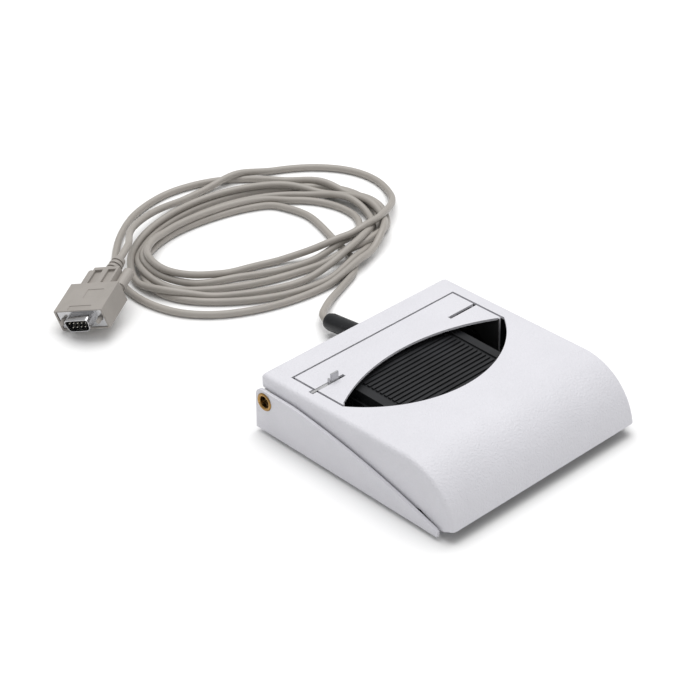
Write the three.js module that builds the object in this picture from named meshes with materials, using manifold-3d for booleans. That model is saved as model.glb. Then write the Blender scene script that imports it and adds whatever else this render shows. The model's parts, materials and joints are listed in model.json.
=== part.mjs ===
// Foot control pedal for a dictation machine, with its lead and 9-pin D plug.
// Millimetres, +Z up, the foot comes from -Y, the lead leaves at +Y.
// The origin is on the floor, under the middle of the pedal without its lead.

import * as THREE from 'three';
import { mergeVertices } from 'three/addons/utils/BufferGeometryUtils.js';
import Module from 'manifold-3d';

const wasm = await Module();
wasm.setup();

// ---------------------------------------------------------------- driving dimensions

const GAP = 0.3;                    // between pieces that touch
const THROUGH = 1;                  // how far a cutter runs past the face it cuts

// base tray
const PEDAL_WIDTH = 150;
const PEDAL_LENGTH = 146.6;         // rear wall to the cover's front edge
const TRAY_SHEET = 2;
const TRAY_FRONT_SETBACK = 8.15;    // the cover reaches this far in front of the tray
const TRAY_REAR_WALL_TOP = 20;
const TRAY_CORNER_RELIEF = 8;       // between the rear wall's ends and the ears
const EAR_TOP = 28.7;
const EAR_REAR_RADIUS = 4.5;
const EAR_FLAT_LENGTH = 28.2;       // level part of the ear's top edge, from the rear
const EAR_FRONT_HEIGHT = 4.3;       // above the underside of the tray
const EAR_BULGE = 5.9;              // how far the sloping edge's control point stands above its chord
const FOOT_HEIGHT = 2.5;
const FOOT_RADIUS = 7;
const FOOT_INSET = 14;
const FOOT_STEM_RADIUS = 2.6;
const FOOT_HEAD_RADIUS = 4;
const FOOT_HEAD_HEIGHT = 1.4;

// hinge of the cover
const HINGE_FROM_REAR = 7;
const HINGE_HEIGHT = 21.9;
const EYELET_BORE = 6.8;
const EYELET_BARREL = 8.4;
const EYELET_FLANGE = 11;
const EYELET_FLANGE_SHEET = 0.6;
const REST_TILT = 1.42;             // degrees, front of the cover up

// cover
const COVER_SHEET = 1.5;
const COVER_SIDE_GAP = 1;
const COVER_RELIEF_LENGTH = 5.5;      // clear of the eyelets, in front of the hinge
const COVER_RELIEF_WIDTH = 9.5;
const COVER_TOP = 36.4;             // with the cover level
const COVER_EDGE_RADIUS = 3;
const COVER_REAR_RADIUS = 3.6;
const COVER_CORNER_RADIUS = 3.6;
const COVER_LUG_RADIUS = 6.5;
const COVER_FRONT_RADIUS = 37.2;
const COVER_FRONT_EDGE = 4.05;      // height of the front edge, cover level
const COVER_SIDE_EDGE = 7.8;
const TONGUE_EDGE = 2.5;
const TONGUE_START = 15.2;          // distances of the side tongue's ramp from the tray's front
const TONGUE_END = 3.2;

// eye opening and toe plate
const EYE_HALF_WIDTH = 63;
const EYE_REAR_FROM_HINGE = 9;
const EYE_DEPTH = 72.2;             // rear edge to the middle of the front arc
const EYE_FRONT_RADIUS = 77.7;
const SEAM = 1.2;
const TOE_PLATE_SIDE_SEAM = 1.4;
const TOE_PLATE_DEPTH = 20.6;       // in the middle
const TOE_PLATE_FRONT_RADIUS = 120;
const TOE_PLATE_SHEET = 1.5;
const TOE_FLANGE_DROP = 23.4;
const TOE_FLANGE_FOOT = 8;
const TOE_PIVOT_FROM_EDGE = 5.5;    // pivot rod, in front of the plate's rear edge
const TOE_ROD_RADIUS = 1.25;
const SLOT_WIDTH = 2.3;
const SLOT_INNER_END = 41;
const SLOT_FROM_REAR = 17.4;

// lock slide
const LOCK_TRAVEL = 4.5;
const LOCK_TIP_REACH = 2.4;         // past the edge of the eye opening
const LOCK_TAB_WIDTH = 5.3;
const LOCK_TAB_HEIGHT = 5;
const LOCK_TAB_SHEET = 1;

// toe pad
const PAD_HALF_WIDTH = 41.4;
const PAD_BELOW_COVER = 3.9;         // its top below the level cover's top
const PAD_THICKNESS = 5.7;
const PAD_REAR_FROM_HINGE = 20.3;
const PAD_FRONT_FROM_HINGE = 86.3;
const RIB_PITCH = 3.2;
const RIB_WIDTH = 1.9;
const RIB_HEIGHT = 1;
const PAD_BORDER = 7.4;             // smooth strip beside the ribs
const RIB_COUNT = 18;
const CARRIER_SHEET = 1.5;
const CARRIER_OVERHANG = 1.6;
const PAD_ROD_RADIUS = 2.5;
const PAD_ROD_FROM_HINGE = 10.3;    // in front of the cover's hinge
const PAD_ROD_BELOW_HINGE = 2.9;
const BRACKET_SHEET = 2;

// springs
const SPRING_X = 56;
const SPRING_FROM_HINGE = 96.25;
const SPRING_RADIUS = 5.4;
const SPRING_WIRE = 0.7;
const SPRING_TURNS = 6;
const POST_RADIUS = 3.6;
const COVER_PRESS = 2;              // degrees of travel, stopped by the posts
const TORSION_RADIUS = 4.4;
const TORSION_TURNS = 5;

// switches
const BOARD_WIDTH = 62;
const BOARD_DEPTH = 40;
const BOARD_SHEET = 1.6;
const BOARD_BOTTOM = 8.4;
const BOARD_FROM_HINGE = 52.3;
const SPACER_RADIUS = 3;
const SWITCH_LENGTH = 20;
const SWITCH_WIDTH = 6.4;
const SWITCH_HEIGHT = 9;
const SWITCH_X = 20;
const CONTACT_FROM_HINGE = 60.3;    // where the toe pad's bosses meet the levers
const COVER_CONTACT_FROM_HINGE = 74.3;
const LEVER_LENGTH = 16;
const LEVER_RISE = 10.5;            // degrees
const LEVER_SHEET = 0.5;
const LEVER_WIDTH = 4;

// liner
const LINER_SHEET = 1.2;
const LINER_WALL = 8;

// lead
const LEAD_X = 21;
const LEAD_EXIT_HEIGHT = 13.5;
const LEAD_DIAMETER = 4.5;
const CLAMP_FROM_HINGE = 22.3;
const BOOT_RADIUS = 5.4;
const BOOT_LENGTH = 44;
const BOOT_DROOP = 7.2;             // degrees
const COIL_CENTRE = [59, 230];
const COIL_HALF_LENGTH = 98;
const COIL_HALF_WIDTH = 75;
const COIL_HEIGHT = 14;
const COIL_EYE_CENTRE = [47, 222];
const COIL_EYE_HALF_LENGTH = 44;
const COIL_EYE_HALF_WIDTH = 24;

// plug
const PLUG_FACE = [-85, 213.3, 11.4];
const PLUG_HEADING = 117.1;         // degrees
const PLUG_PITCH = -8.6;
const PLUG_ROLL = 16.7;
const HOOD_WIDTH = 33;
const HOOD_THICKNESS = 14;
const HOOD_LENGTH = 26;
const NECK_WIDTH = 17.6;
const NECK_THICKNESS = 11;
const NECK_LENGTH = 17;
const PLUG_BOOT_RADIUS = 4.7;
const PLUG_BOOT_GROOVE = 1.3;
const PLUG_BOOT_LENGTH = 13.5;
const PANEL_DEPTH = 1.6;
const LABEL_X = [-9.4, 1.8];
const LABEL_Y = [-19.6, -11.9];
const LABEL_DEPTH = 0.35;
const GRIP_HALF = 7.6;
const GRIP_REACH = 4.6;
const SHELL_WIDTH = 16.92;
const SHELL_HEIGHT = 8.36;
const SHELL_REACH = 5.9;
const SHELL_SHEET = 0.5;
const FLANGE_WIDTH = 30.8;
const FLANGE_HEIGHT = 12.5;
const PIN_PITCH = 2.77;
const PIN_ROW = 2.84;
const PIN_RADIUS = 0.5;
const PIN_REACH = 5;
const SCREW_SPACING = 25;
const SCREW_SHAFT_RADIUS = 1.4;
const SCREW_KNOB_RADIUS = 3.4;
const SCREW_KNOB_LENGTH = 18;
const SCREW_REACH = 3.5;

// ---------------------------------------------------------------- sizes that follow

const REAR = PEDAL_LENGTH / 2;
const TRAY_FRONT = -REAR + TRAY_FRONT_SETBACK;
const TRAY_BOTTOM = FOOT_HEIGHT;
const FLOOR = TRAY_BOTTOM + TRAY_SHEET;
const HINGE_Y = REAR - HINGE_FROM_REAR;
const TILT = THREE.MathUtils.degToRad(REST_TILT);
const COVER_HALF = PEDAL_WIDTH / 2 - TRAY_SHEET - COVER_SIDE_GAP;
const COVER_REAR = REAR - GAP;
const COVER_REAR_EDGE = TRAY_REAR_WALL_TOP + 2 * GAP;
const COVER_UNDER = COVER_TOP - COVER_SHEET;
const EYE_REAR = HINGE_Y - EYE_REAR_FROM_HINGE;
const TOE_HALF = EYE_HALF_WIDTH - TOE_PLATE_SIDE_SEAM;
const TOE_REAR = EYE_REAR - SEAM;
const TOE_UNDER = COVER_TOP - TOE_PLATE_SHEET;
const TOE_PIVOT_Y = TOE_REAR - TOE_PIVOT_FROM_EDGE;
const TOE_PIVOT_Z = TOE_UNDER - TOE_ROD_RADIUS - GAP;
const SLOT_Y = TOE_REAR - SLOT_FROM_REAR;
const LINER_FLOOR = FLOOR + GAP + LINER_SHEET;
const PAD_TOP = COVER_TOP - PAD_BELOW_COVER;
const PAD_REAR = HINGE_Y - PAD_REAR_FROM_HINGE;
const PAD_FRONT = HINGE_Y - PAD_FRONT_FROM_HINGE;
const RIB_HALF_LENGTH = PAD_HALF_WIDTH - PAD_BORDER;
const PAD_ROD_HEIGHT = HINGE_HEIGHT - PAD_ROD_BELOW_HINGE;
const SPRING_Y = HINGE_Y - SPRING_FROM_HINGE;
const BOARD_Y = HINGE_Y - BOARD_FROM_HINGE;
const SWITCH_CONTACT_Y = HINGE_Y - CONTACT_FROM_HINGE;
const COVER_SWITCH_Y = HINGE_Y - COVER_CONTACT_FROM_HINGE;
const CLAMP_Y = HINGE_Y - CLAMP_FROM_HINGE;
const PAD_ROD_Y = HINGE_Y - PAD_ROD_FROM_HINGE;
const CARRIER_TOP = PAD_TOP - PAD_THICKNESS - GAP;
const CARRIER_BOTTOM = CARRIER_TOP - CARRIER_SHEET;
const CARRIER_HALF = PAD_HALF_WIDTH + CARRIER_OVERHANG;
const SWITCH_BOTTOM = BOARD_BOTTOM + BOARD_SHEET + GAP;
const LEVER_PIVOT_Z = SWITCH_BOTTOM + SWITCH_HEIGHT + 1.2;
const LEVER_TIP_Z = LEVER_PIVOT_Z + LEVER_LENGTH * Math.sin(THREE.MathUtils.degToRad(LEVER_RISE));

// ---------------------------------------------------------------- tools

const X = new THREE.Vector3(1, 0, 0);
const Y = new THREE.Vector3(0, 1, 0);
const Z = new THREE.Vector3(0, 0, 1);
const ALONG_X = new THREE.Matrix4().makeBasis(Y, Z, X);              // a YZ outline, swept along X
const ALONG_Y = new THREE.Matrix4().makeBasis(Z, X, Y);              // a ZX outline, swept along Y

function solid(geometry) {
  const bare = geometry.clone();
  bare.deleteAttribute('normal');
  bare.deleteAttribute('uv');
  const merged = mergeVertices(bare, 1e-5);
  return new wasm.Manifold(new wasm.Mesh({
    numProp: 3,
    vertProperties: new Float32Array(merged.attributes.position.array),
    triVerts: new Uint32Array(merged.index.array),
  }));
}

function toGeometry(manifold) {
  const mesh = manifold.getMesh();
  const geometry = new THREE.BufferGeometry();
  geometry.setAttribute('position', new THREE.BufferAttribute(new Float32Array(mesh.vertProperties), 3));
  geometry.setIndex(new THREE.BufferAttribute(new Uint32Array(mesh.triVerts), 1));
  geometry.computeVertexNormals();
  return geometry;
}

function outline(points) {
  return new THREE.Shape(points.map(([a, b]) => new THREE.Vector2(a, b)));
}

function withoutRepeats(points) {
  return points.filter((p, i) => p.distanceTo(points[(i + 1) % points.length]) > 1e-4);
}

function cleaned(shape, segments) {
  const { shape: outer, holes } = shape.extractPoints(segments);
  const result = new THREE.Shape(withoutRepeats(outer));
  result.holes = holes.map((hole) => new THREE.Path(withoutRepeats(hole)));
  return result;
}

function sweep(shape, depth, matrix, options = {}) {
  const { curveSegments = 12, ...rest } = options;
  const geometry = new THREE.ExtrudeGeometry(
    cleaned(shape, curveSegments), { depth, bevelEnabled: false, ...rest });
  return matrix ? geometry.applyMatrix4(matrix) : geometry;
}

function slabX(points, from, to) {
  return sweep(outline(points), to - from, ALONG_X).translate(from, 0, 0);
}

function block(x0, x1, y0, y1, z0, z1) {
  const geometry = new THREE.BoxGeometry(x1 - x0, y1 - y0, z1 - z0);
  return geometry.translate((x0 + x1) / 2, (y0 + y1) / 2, (z0 + z1) / 2);
}

function rod(radius, length, axis, centre, sides = 20) {
  const geometry = new THREE.CylinderGeometry(radius, radius, length, sides);
  geometry.applyQuaternion(new THREE.Quaternion().setFromUnitVectors(Y, axis));
  return geometry.translate(...centre);
}

function turned(profile, axis, centre, sides = 20) {
  const geometry = new THREE.LatheGeometry(profile.map(([r, h]) => new THREE.Vector2(r, h)), sides);
  geometry.applyQuaternion(new THREE.Quaternion().setFromUnitVectors(Y, axis));
  return geometry.translate(...centre);
}

function join(first, ...rest) {
  return rest.reduce((sum, geometry) => sum.add(solid(geometry)), solid(first));
}

function cut(body, ...cutters) {
  return cutters.reduce((rest, geometry) => rest.subtract(solid(geometry)), body);
}

function roundedRect(halfX, y0, y1, radius) {
  const shape = new THREE.Shape();
  shape.moveTo(-halfX + radius, y0);
  shape.lineTo(halfX - radius, y0);
  shape.absarc(halfX - radius, y0 + radius, radius, -Math.PI / 2, 0);
  shape.lineTo(halfX, y1 - radius);
  shape.absarc(halfX - radius, y1 - radius, radius, 0, Math.PI / 2);
  shape.lineTo(-halfX + radius, y1);
  shape.absarc(-halfX + radius, y1 - radius, radius, Math.PI / 2, Math.PI);
  shape.lineTo(-halfX, y0 + radius);
  shape.absarc(-halfX + radius, y0 + radius, radius, Math.PI, Math.PI * 1.5);
  return shape;
}

function finish(color, roughness, metalness) {
  return new THREE.MeshStandardMaterial({ color, roughness, metalness });
}

const WHITE_COAT = finish(0xe6e6ea, 0.55, 0);
const BRASS = finish(0xa8823e, 0.35, 1);
const STEEL = finish(0xb4b6b8, 0.35, 1);
const NICKEL = finish(0xc8c6c0, 0.25, 1);
const BLACK_RUBBER = finish(0x1b1d1f, 0.7, 0);
const BLACK_PLASTIC = finish(0x141516, 0.5, 0);
const BLACK_STEEL = finish(0x1d1e20, 0.55, 0.3);
const NYLON = finish(0xdcdcd4, 0.5, 0);
const GREEN_BOARD = finish(0x2c5a3c, 0.5, 0);
const GREY_PLASTIC = finish(0x9a948b, 0.55, 0);
const LEAD_GREY = finish(0xa39d94, 0.6, 0);

function piece(name, body, material) {
  const mesh = new THREE.Mesh(body.isBufferGeometry ? body : toGeometry(body), material);
  mesh.name = name;
  return mesh;
}

const SIDES = [['left', -1], ['right', 1]];

// ---------------------------------------------------------------- base tray

function earProfile() {
  const flatEnd = REAR - EAR_FLAT_LENGTH;
  const frontTop = TRAY_BOTTOM + EAR_FRONT_HEIGHT;
  const shape = new THREE.Shape();
  shape.moveTo(REAR, TRAY_BOTTOM);
  shape.lineTo(REAR, EAR_TOP - EAR_REAR_RADIUS);
  shape.absarc(REAR - EAR_REAR_RADIUS, EAR_TOP - EAR_REAR_RADIUS, EAR_REAR_RADIUS, 0, Math.PI / 2);
  shape.lineTo(flatEnd, EAR_TOP);
  const middleY = (flatEnd + TRAY_FRONT) / 2;
  const middleZ = (EAR_TOP + frontTop) / 2 + EAR_BULGE;
  shape.quadraticCurveTo(middleY, middleZ, TRAY_FRONT + TRAY_SHEET, frontTop);
  shape.lineTo(TRAY_FRONT, frontTop - TRAY_SHEET / 2);
  shape.lineTo(TRAY_FRONT, TRAY_BOTTOM);
  return shape;
}

function footPlaces() {
  const x = PEDAL_WIDTH / 2 - FOOT_INSET;
  return [
    ['front_left', -x, TRAY_FRONT + FOOT_INSET], ['front_right', x, TRAY_FRONT + FOOT_INSET],
    ['rear_left', -x, REAR - FOOT_INSET], ['rear_right', x, REAR - FOOT_INSET],
  ];
}

function baseTray() {
  const half = PEDAL_WIDTH / 2;
  const wall = half - TRAY_CORNER_RELIEF;
  const bend = TRAY_SHEET / 2;
  const ear = earProfile();
  const body = join(
    block(-half + bend, half - bend, TRAY_FRONT + bend / 2, REAR - bend, TRAY_BOTTOM, FLOOR),
    block(-wall, wall, REAR - TRAY_SHEET, REAR, TRAY_BOTTOM + bend / 4, TRAY_REAR_WALL_TOP),
    sweep(ear, TRAY_SHEET, ALONG_X).translate(-half, 0, 0),
    sweep(ear, TRAY_SHEET, ALONG_X).translate(half - TRAY_SHEET, 0, 0),
  );
  const holes = footPlaces().map(([, x, y]) => rod(
    FOOT_STEM_RADIUS + GAP, 4 * TRAY_SHEET, Z, [x, y, TRAY_BOTTOM]));
  const pivot = rod(EYELET_BARREL / 2 + GAP, PEDAL_WIDTH + 2 * THROUGH, X, [0, HINGE_Y, HINGE_HEIGHT]);
  const leadHole = rod(BOOT_RADIUS + 2 * GAP, 6 * TRAY_SHEET, Y, [LEAD_X, REAR, LEAD_EXIT_HEIGHT]);
  const reliefs = SIDES.map(([, side]) => {
    const outer = half - TRAY_SHEET;
    const inner = COVER_HALF - COVER_SHEET - COVER_SIDE_GAP;
    const [x0, x1] = side < 0 ? [-outer, -inner] : [inner, outer];
    const end = TRAY_FRONT + TONGUE_START - 1;
    return block(x0, x1, TRAY_FRONT - THROUGH, end, TRAY_BOTTOM - THROUGH, FLOOR + THROUGH);
  });
  return piece('base_tray', cut(body, ...holes, pivot, leadHole, ...reliefs), WHITE_COAT);
}

function foot([place, x, y]) {
  const headBottom = FLOOR + GAP;
  const profile = [
    [0, 0], [FOOT_RADIUS - 1, 0], [FOOT_RADIUS, 1], [FOOT_RADIUS, TRAY_BOTTOM - GAP],
    [FOOT_STEM_RADIUS, TRAY_BOTTOM - GAP], [FOOT_STEM_RADIUS, headBottom],
    [FOOT_HEAD_RADIUS, headBottom], [FOOT_STEM_RADIUS, headBottom + FOOT_HEAD_HEIGHT],
    [0, headBottom + FOOT_HEAD_HEIGHT],
  ];
  return piece(`foot_${place}`, turned(profile, Z, [x, y, 0]), BLACK_RUBBER);
}

// ---------------------------------------------------------------- cover hinge

function eyelet([name, side]) {
  const outerFace = PEDAL_WIDTH / 2 + GAP / 2;
  const innerFace = COVER_HALF - COVER_SHEET - GAP;
  const bore = EYELET_BORE / 2;
  const barrel = EYELET_BARREL / 2;
  const flange = EYELET_FLANGE / 2;
  const profile = [
    [bore, innerFace - EYELET_FLANGE_SHEET], [flange, innerFace - EYELET_FLANGE_SHEET],
    [flange, innerFace], [barrel, innerFace], [barrel, outerFace], [flange, outerFace],
    [flange - EYELET_FLANGE_SHEET, outerFace + EYELET_FLANGE_SHEET],
    [bore + EYELET_FLANGE_SHEET, outerFace + EYELET_FLANGE_SHEET], [bore, outerFace],
    [bore, innerFace - EYELET_FLANGE_SHEET],
  ];
  const axis = X.clone().multiplyScalar(side);
  return piece(`eyelet_${name}`, turned(profile, axis, [0, HINGE_Y, HINGE_HEIGHT], 28), BRASS);
}

function hingeWasher([name, side]) {
  const inner = EYELET_BARREL / 2 + GAP;
  const outer = EYELET_FLANGE / 2 + THROUGH;
  const low = COVER_HALF + GAP;
  const high = COVER_HALF + COVER_SIDE_GAP - GAP;
  const profile = [[inner, low], [outer, low], [outer, high], [inner, high], [inner, low]];
  const axis = X.clone().multiplyScalar(side);
  return piece(`hinge_washer_${name}`, turned(profile, axis, [0, HINGE_Y, HINGE_HEIGHT], 28), NYLON);
}

// ---------------------------------------------------------------- cover, drawn level and turned to rest

function coverFrontY() {
  const drop = COVER_FRONT_EDGE - HINGE_HEIGHT;
  return HINGE_Y + (-REAR - HINGE_Y - drop * Math.sin(TILT)) / Math.cos(TILT);
}

function coverArcCentre() {
  const z = COVER_TOP - COVER_FRONT_RADIUS;
  const reach = Math.sqrt(COVER_FRONT_RADIUS ** 2 - (COVER_FRONT_EDGE - z) ** 2);
  return [coverFrontY() + reach, z];
}

function coverBlock(inset) {
  const [arcY, arcZ] = coverArcCentre();
  const radius = COVER_FRONT_RADIUS - inset;
  const edge = COVER_EDGE_RADIUS - inset;
  const corner = COVER_REAR_RADIUS - inset;
  const half = COVER_HALF - inset;
  const rear = COVER_REAR - inset;
  const top = COVER_TOP - inset;
  const bottom = arcZ - edge - 2 * THROUGH - inset;
  const shape = new THREE.Shape();
  shape.moveTo(rear, bottom);
  shape.lineTo(rear, top - corner);
  shape.absarc(rear - corner, top - corner, corner, 0, Math.PI / 2);
  shape.absarc(arcY, arcZ, radius, Math.PI / 2, Math.PI);
  shape.lineTo(arcY - radius, bottom);
  const bevel = {
    bevelEnabled: true, bevelSize: edge, bevelThickness: edge, bevelOffset: -edge, bevelSegments: 3,
    curveSegments: 16,
  };
  const body = solid(sweep(shape, 2 * (half - edge), ALONG_X, bevel).translate(-half + edge, 0, 0));
  const plan = roundedRect(half, arcY - 2 * radius, rear, COVER_CORNER_RADIUS - inset);
  const prism = solid(sweep(plan, 2 * COVER_TOP + 20).translate(0, 0, -20));
  return body.intersect(prism);
}

function coverKeep() {
  const front = coverFrontY();
  const tall = COVER_TOP + THROUGH;
  return slabX([
    [REAR - TRAY_SHEET - COVER_SIDE_GAP, COVER_SIDE_EDGE],
    [REAR - TRAY_SHEET - COVER_SIDE_GAP, COVER_REAR_EDGE],
    [REAR, COVER_REAR_EDGE], [REAR, tall], [front - COVER_FRONT_RADIUS, tall],
    [front - COVER_FRONT_RADIUS, COVER_FRONT_EDGE], [front + COVER_SHEET + THROUGH, COVER_FRONT_EDGE],
    [TRAY_FRONT - 2, TONGUE_EDGE], [TRAY_FRONT + TONGUE_END, TONGUE_EDGE],
    [TRAY_FRONT + TONGUE_START, COVER_SIDE_EDGE],
  ], -COVER_HALF - THROUGH, COVER_HALF + THROUGH);
}

function eyeShape() {
  const centreY = EYE_REAR - EYE_DEPTH + EYE_FRONT_RADIUS;
  const angle = Math.asin(EYE_HALF_WIDTH / EYE_FRONT_RADIUS);
  const shape = new THREE.Shape();
  shape.moveTo(EYE_HALF_WIDTH, EYE_REAR);
  shape.lineTo(-EYE_HALF_WIDTH, EYE_REAR);
  shape.absarc(0, centreY, EYE_FRONT_RADIUS, -Math.PI / 2 - angle, -Math.PI / 2 + angle, false);
  return shape;
}

function cornerRelief(side) {
  const inner = COVER_HALF - COVER_RELIEF_WIDTH;
  const [x0, x1] = side < 0 ? [-COVER_HALF - THROUGH, -inner] : [inner, COVER_HALF + THROUGH];
  return block(x0, x1, HINGE_Y - COVER_RELIEF_LENGTH, REAR, 0, EAR_TOP);
}

function hingeLug(side) {
  const radius = COVER_LUG_RADIUS;
  const front = HINGE_Y - COVER_RELIEF_LENGTH - COVER_SHEET;
  const shape = new THREE.Shape();
  shape.moveTo(front, HINGE_HEIGHT - radius);
  shape.lineTo(HINGE_Y, HINGE_HEIGHT - radius);
  shape.absarc(HINGE_Y, HINGE_HEIGHT, radius, -Math.PI / 2, Math.PI / 3);
  shape.lineTo(front + 3 * COVER_SHEET, EAR_TOP + COVER_SHEET);
  shape.lineTo(front, EAR_TOP + COVER_SHEET);
  const x0 = side < 0 ? -COVER_HALF : COVER_HALF - COVER_SHEET;
  return sweep(shape, COVER_SHEET, ALONG_X).translate(x0, 0, 0);
}

function coverLug(side) {
  const x0 = EYE_HALF_WIDTH + COVER_SHEET / 2;
  const x1 = x0 + COVER_SHEET;
  const [low, high] = side < 0 ? [-x1, -x0] : [x0, x1];
  const reach = 3 * TOE_ROD_RADIUS;
  return block(low, high, TOE_PIVOT_Y - reach, TOE_PIVOT_Y + reach, TOE_PIVOT_Z - reach,
    COVER_UNDER + COVER_SHEET / 2);
}

function cover() {
  const shell = coverBlock(0).subtract(coverBlock(COVER_SHEET)).intersect(solid(coverKeep()));
  const relieved = cut(shell, ...SIDES.map(([, side]) => cornerRelief(side)));
  const lugs = SIDES.flatMap(([, side]) => [coverLug(side), hingeLug(side)]);
  const body = lugs.reduce((sum, lug) => sum.add(solid(lug)), relieved);
  const eye = sweep(eyeShape(), 3 * COVER_SHEET, null, { curveSegments: 32 })
    .translate(0, 0, COVER_UNDER - COVER_SHEET);
  const notchX = EYE_HALF_WIDTH + LOCK_TIP_REACH + 2 * GAP;
  const notch = block(-notchX, -EYE_HALF_WIDTH + THROUGH, SLOT_Y - SLOT_WIDTH * 0.7, SLOT_Y + SLOT_WIDTH * 0.7,
    COVER_UNDER - THROUGH, COVER_TOP + THROUGH);
  const pivots = SIDES.map(([, side]) => rod(
    EYELET_BARREL / 2 + GAP, 4 * COVER_SHEET, X, [side * COVER_HALF, HINGE_Y, HINGE_HEIGHT]));
  const rodHole = rod(
    TOE_ROD_RADIUS + GAP, 2 * (EYE_HALF_WIDTH + 3 * COVER_SHEET + GAP), X, [0, TOE_PIVOT_Y, TOE_PIVOT_Z], 16);
  const leadNotch = block(LEAD_X - BOOT_RADIUS - 4, LEAD_X + BOOT_RADIUS + 4, COVER_REAR - 2 * COVER_SHEET,
    REAR, 0, LEAD_EXIT_HEIGHT + BOOT_RADIUS + 3);
  return piece('cover', cut(body, eye, notch, ...pivots, rodHole, leadNotch), WHITE_COAT);
}

function toePlateShape() {
  const tipY = toeTipY();
  const centreY = TOE_REAR - TOE_PLATE_DEPTH - TOE_PLATE_FRONT_RADIUS;
  const angle = Math.asin(TOE_HALF / TOE_PLATE_FRONT_RADIUS);
  const shape = new THREE.Shape();
  shape.moveTo(TOE_HALF, TOE_REAR);
  shape.lineTo(-TOE_HALF, TOE_REAR);
  shape.lineTo(-TOE_HALF, tipY);
  shape.absarc(0, centreY, TOE_PLATE_FRONT_RADIUS, Math.PI / 2 + angle, Math.PI / 2 - angle, true);
  return shape;
}

function toeTipY() {
  const centreY = TOE_REAR - TOE_PLATE_DEPTH - TOE_PLATE_FRONT_RADIUS;
  return centreY + Math.sqrt(TOE_PLATE_FRONT_RADIUS ** 2 - TOE_HALF ** 2);
}

function toePlate() {
  const tip = toeTipY();
  const lugEnd = TOE_PIVOT_Y + 3 * TOE_ROD_RADIUS;
  const lugLow = TOE_PIVOT_Z - 2.5 * TOE_ROD_RADIUS;
  const flange = [
    [tip, COVER_TOP - GAP], [tip, COVER_TOP - TOE_FLANGE_DROP],
    [tip + TOE_FLANGE_FOOT, COVER_TOP - TOE_FLANGE_DROP], [TOE_PIVOT_Y - 4 * TOE_ROD_RADIUS, lugLow],
    [lugEnd, lugLow], [lugEnd, COVER_TOP - GAP],
  ];
  const body = join(
    sweep(toePlateShape(), TOE_PLATE_SHEET, null, { curveSegments: 24 }).translate(0, 0, TOE_UNDER),
    slabX(flange, -TOE_HALF, -TOE_HALF + TOE_PLATE_SHEET),
    slabX(flange, TOE_HALF - TOE_PLATE_SHEET, TOE_HALF),
  );
  const slots = SIDES.map(([, side]) => {
    const [x0, x1] = side < 0 ? [-TOE_HALF - THROUGH, -SLOT_INNER_END] : [SLOT_INNER_END, TOE_HALF + THROUGH];
    return block(x0, x1, SLOT_Y - SLOT_WIDTH / 2, SLOT_Y + SLOT_WIDTH / 2, TOE_UNDER - THROUGH,
      COVER_TOP + THROUGH);
  });
  const rodHole = rod(TOE_ROD_RADIUS + GAP, PEDAL_WIDTH, X, [0, TOE_PIVOT_Y, TOE_PIVOT_Z], 16);
  return piece('toe_plate', cut(body, ...slots, rodHole), WHITE_COAT);
}

function toePlateRod() {
  const length = 2 * (EYE_HALF_WIDTH + 3 * COVER_SHEET);
  return piece('toe_plate_rod', rod(TOE_ROD_RADIUS, length, X, [0, TOE_PIVOT_Y, TOE_PIVOT_Z], 16), STEEL);
}

function lockSlide() {
  const halfStrip = SLOT_WIDTH / 2 - GAP;
  const right = -SLOT_INNER_END - LOCK_TRAVEL - GAP / 2;
  const left = -EYE_HALF_WIDTH - LOCK_TIP_REACH;
  const tabLeft = right - LOCK_TAB_WIDTH;
  const stripLow = TOE_UNDER - GAP;
  const stripHigh = COVER_TOP - GAP / 2;
  const shoeLow = TOE_UNDER - GAP - LOCK_TAB_SHEET;
  const prong = tabLeft - 2 * LOCK_TAB_SHEET;
  const halfTab = LOCK_TAB_SHEET / 2;
  const body = join(
    block(left, right, SLOT_Y - halfStrip, SLOT_Y + halfStrip, TOE_UNDER + GAP, stripHigh),
    block(prong, right, SLOT_Y - halfStrip, SLOT_Y + halfStrip, shoeLow, stripHigh),
    block(prong, right, SLOT_Y - SLOT_WIDTH, SLOT_Y + SLOT_WIDTH, shoeLow, stripLow),
    block(tabLeft, right, SLOT_Y - halfTab, SLOT_Y + halfTab, stripLow, COVER_TOP + LOCK_TAB_HEIGHT),
    block(prong, prong + LOCK_TAB_SHEET, SLOT_Y - halfTab, SLOT_Y + halfTab, stripLow,
      COVER_TOP + LOCK_TAB_HEIGHT * 0.6),
  );
  return piece('lock_slide', body, STEEL);
}

function coverActuator() {
  const half = LEVER_WIDTH;
  const low = leverContactZ(COVER_SWITCH_Y) + GAP;
  const shift = (HINGE_Y - COVER_SWITCH_Y) * Math.sin(TILT);
  const body = join(
    block(-SPRING_X - half, -SPRING_X + half, COVER_SWITCH_Y - 1, COVER_SWITCH_Y + 1, low - shift,
      COVER_UNDER - GAP),
    block(-SPRING_X - half, -SPRING_X + half, COVER_SWITCH_Y - 1, COVER_SWITCH_Y + 9,
      COVER_UNDER - GAP - COVER_SHEET, COVER_UNDER - GAP),
  );
  return piece('cover_actuator', body, STEEL);
}

function coverGroup() {
  const group = new THREE.Group();
  const parts = [cover(), coverActuator(), toePlate(), toePlateRod(), lockSlide()];
  const level = new THREE.Group();
  level.position.set(0, -HINGE_Y, -HINGE_HEIGHT);
  level.add(...parts);
  group.position.set(0, HINGE_Y, HINGE_HEIGHT);
  group.rotation.x = -TILT;
  group.add(level);
  return group;
}

// ---------------------------------------------------------------- toe pad

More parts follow.
